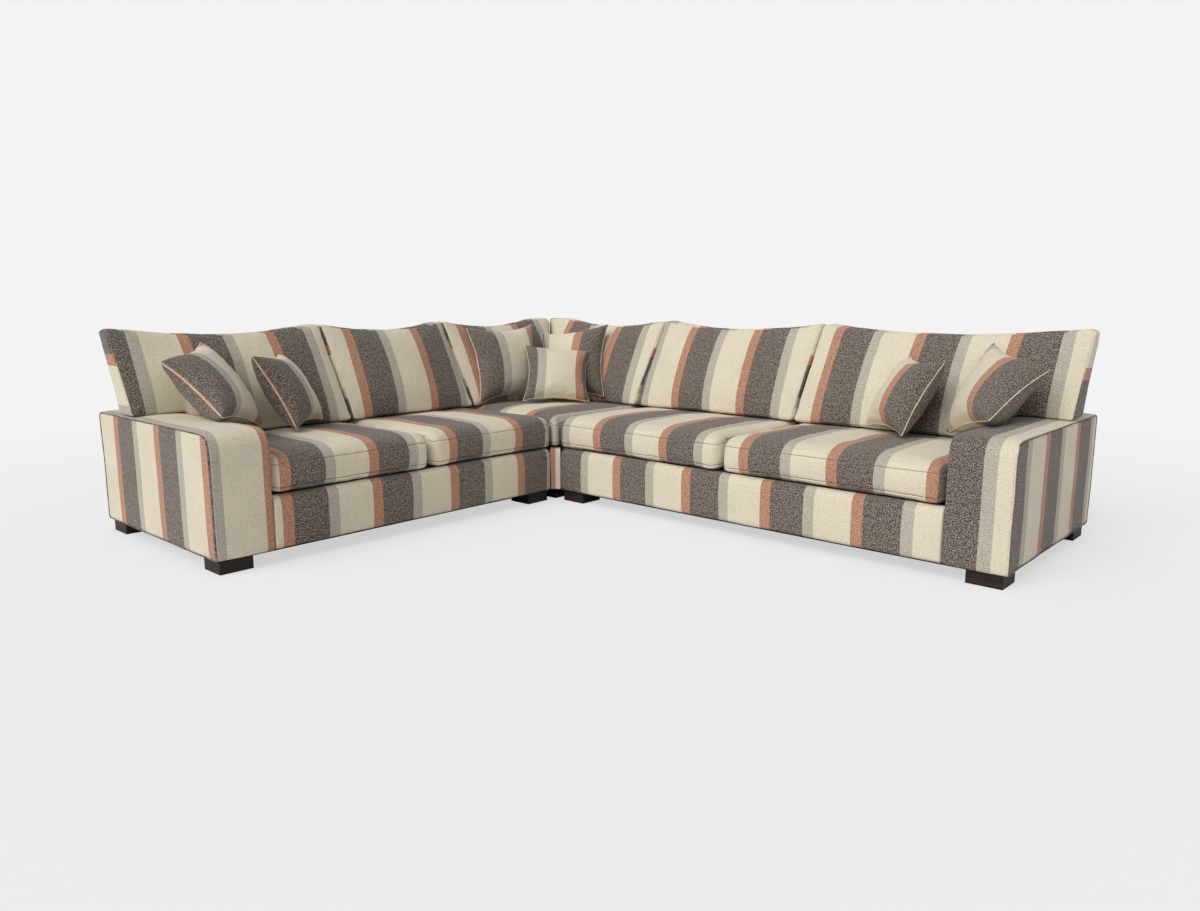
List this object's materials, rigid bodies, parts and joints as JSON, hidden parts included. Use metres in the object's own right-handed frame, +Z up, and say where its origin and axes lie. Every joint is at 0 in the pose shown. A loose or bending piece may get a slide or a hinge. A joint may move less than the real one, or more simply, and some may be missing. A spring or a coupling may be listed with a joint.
{
  "type": "corner sofa",
  "caption": "L-shaped corner sofa with wide square arms, loose seat, back and scatter cushions in striped fabric, on low block feet.",
  "frame": {"origin": "middle of the footprint's bounding box, on the floor", "axes": "+Z up; +X along the long (right-hand) run towards its arm; +Y towards the back of that run; the outer corner of the L is at -X, +Y"},
  "size_m": [3.287, 2.832, 0.8927],
  "materials": {
    "cover_fabric": "striped chenille weave, matt",
    "seat_fabric": "striped chenille weave, matt",
    "back_fabric": "striped chenille weave, matt",
    "scatter_fabric": "striped chenille weave, matt",
    "piping_cord": "covered piping cord, matt",
    "foot_wood": "dark stained, satin",
    "frame_wood": "planed softwood and board, raw",
    "deck_cloth": "felt pad under platform cloth, matt",
    "dust_cloth": "non-woven dust cloth, matt",
    "webbing": "elastic woven strap, matt",
    "zinc_steel": "zinc plated"
  },
  "bodies": {
    "frame": {"back_webbing": "webbing", "corner_back_frame": "frame_wood", "corner_base_frame": "frame_wood", "corner_deck": "deck_cloth", "corner_dust_cover": "dust_cloth", "corner_foot_inner_corner": "foot_wood", "corner_foot_left_joint": "foot_wood", "corner_foot_outer_corner": "foot_wood", "corner_foot_right_joint": "foot_wood", "corner_front_post": "cover_fabric", "corner_left_back_cover": "cover_fabric", "corner_right_back_cover": "cover_fabric", "foot_bolts": "zinc_steel", "left_arm_cover": "cover_fabric", "left_arm_frame": "frame_wood", "left_arm_piping": "piping_cord", "left_back_cover": "cover_fabric", "left_back_frame": "frame_wood", "left_base_frame": "frame_wood", "left_deck": "deck_cloth", "left_dust_cover": "dust_cloth", "left_foot_front_inner": "foot_wood", "left_foot_front_outer": "foot_wood", "left_foot_rear_inner": "foot_wood", "left_foot_rear_outer": "foot_wood", "left_front_border": "cover_fabric", "right_arm_cover": "cover_fabric", "right_arm_frame": "frame_wood", "right_arm_piping": "piping_cord", "right_back_cover": "cover_fabric", "right_back_frame": "frame_wood", "right_base_frame": "frame_wood", "right_deck": "deck_cloth", "right_dust_cover": "dust_cloth", "right_foot_front_inner": "foot_wood", "right_foot_front_outer": "foot_wood", "right_foot_rear_inner": "foot_wood", "right_foot_rear_outer": "foot_wood", "right_front_border": "cover_fabric", "seat_webbing": "webbing", "unit_connectors": "zinc_steel"},
    "left_seat_cushion_outer": {"left_seat_cushion_outer": "seat_fabric"},
    "left_seat_cushion_inner": {"left_seat_cushion_inner": "seat_fabric"},
    "corner_seat_cushion": {"corner_seat_cushion": "seat_fabric"},
    "right_seat_cushion_inner": {"right_seat_cushion_inner": "seat_fabric"},
    "right_seat_cushion_outer": {"right_seat_cushion_outer": "seat_fabric"},
    "left_back_cushion_outer": {"left_back_cushion_outer": "back_fabric"},
    "left_back_cushion_inner": {"left_back_cushion_inner": "back_fabric"},
    "corner_back_cushion_left": {"corner_back_cushion_left": "back_fabric"},
    "corner_back_cushion_right": {"corner_back_cushion_right": "back_fabric"},
    "right_back_cushion_inner": {"right_back_cushion_inner": "back_fabric"},
    "right_back_cushion_outer": {"right_back_cushion_outer": "back_fabric"},
    "left_scatter_large": {"left_scatter_large": "scatter_fabric"},
    "left_scatter_small": {"left_scatter_small": "scatter_fabric"},
    "right_scatter_large": {"right_scatter_large": "scatter_fabric"},
    "right_scatter_small": {"right_scatter_small": "scatter_fabric"},
    "corner_scatter_left": {"corner_scatter_left": "scatter_fabric"},
    "corner_scatter_right": {"corner_scatter_right": "scatter_fabric"},
    "corner_scatter_front": {"corner_scatter_front": "scatter_fabric"}
  },
  "joints": [
    {"name": "lift_left_seat_cushion_outer", "type": "slide", "parent": "frame", "child": "left_seat_cushion_outer", "axis": [0, 0, 1], "range_m": [0, 0.3]},
    {"name": "lift_left_seat_cushion_inner", "type": "slide", "parent": "frame", "child": "left_seat_cushion_inner", "axis": [0, 0, 1], "range_m": [0, 0.3]},
    {"name": "lift_corner_seat_cushion", "type": "slide", "parent": "frame", "child": "corner_seat_cushion", "axis": [0, 0, 1], "range_m": [0, 0.3]},
    {"name": "lift_right_seat_cushion_inner", "type": "slide", "parent": "frame", "child": "right_seat_cushion_inner", "axis": [0, 0, 1], "range_m": [0, 0.3]},
    {"name": "lift_right_seat_cushion_outer", "type": "slide", "parent": "frame", "child": "right_seat_cushion_outer", "axis": [0, 0, 1], "range_m": [0, 0.3]},
    {"name": "lift_left_back_cushion_outer", "type": "slide", "parent": "left_seat_cushion_outer", "child": "left_back_cushion_outer", "axis": [-0.4384, 0, 0.8988], "range_m": [0, 0.3]},
    {"name": "lift_left_back_cushion_inner", "type": "slide", "parent": "left_seat_cushion_inner", "child": "left_back_cushion_inner", "axis": [-0.4384, 0, 0.8988], "range_m": [0, 0.3]},
    {"name": "lift_corner_back_cushion_left", "type": "slide", "parent": "corner_seat_cushion", "child": "corner_back_cushion_left", "axis": [-0.4384, 0, 0.8988], "range_m": [0, 0.3]},
    {"name": "lift_corner_back_cushion_right", "type": "slide", "parent": "corner_seat_cushion", "child": "corner_back_cushion_right", "axis": [0, 0.4384, 0.8988], "range_m": [0, 0.3]},
    {"name": "lift_right_back_cushion_inner", "type": "slide", "parent": "right_seat_cushion_inner", "child": "right_back_cushion_inner", "axis": [0, 0.4384, 0.8988], "range_m": [0, 0.3]},
    {"name": "lift_right_back_cushion_outer", "type": "slide", "parent": "right_seat_cushion_outer", "child": "right_back_cushion_outer", "axis": [0, 0.4384, 0.8988], "range_m": [0, 0.3]},
    {"name": "lift_left_scatter_large", "type": "slide", "parent": "left_back_cushion_outer", "child": "left_scatter_large", "axis": [0, 0, 1], "range_m": [0, 0.3]},
    {"name": "lift_left_scatter_small", "type": "slide", "parent": "left_scatter_large", "child": "left_scatter_small", "axis": [0.3536, 0.3536, 0.866], "range_m": [0, 0.3]},
    {"name": "lift_right_scatter_large", "type": "slide", "parent": "right_back_cushion_outer", "child": "right_scatter_large", "axis": [0, 0, 1], "range_m": [0, 0.3]},
    {"name": "lift_right_scatter_small", "type": "slide", "parent": "right_scatter_large", "child": "right_scatter_small", "axis": [-0.3536, -0.3536, 0.866], "range_m": [0, 0.3]},
    {"name": "lift_corner_scatter_left", "type": "slide", "parent": "corner_back_cushion_left", "child": "corner_scatter_left", "axis": [-0.309, 0, 0.9511], "range_m": [0, 0.3]},
    {"name": "lift_corner_scatter_right", "type": "slide", "parent": "corner_back_cushion_right", "child": "corner_scatter_right", "axis": [0, 0.4226, 0.9063], "range_m": [0, 0.3]},
    {"name": "lift_corner_scatter_front", "type": "slide", "parent": "corner_seat_cushion", "child": "corner_scatter_front", "axis": [0.3536, -0.3536, 0.866], "range_m": [0, 0.3]}
  ]
}
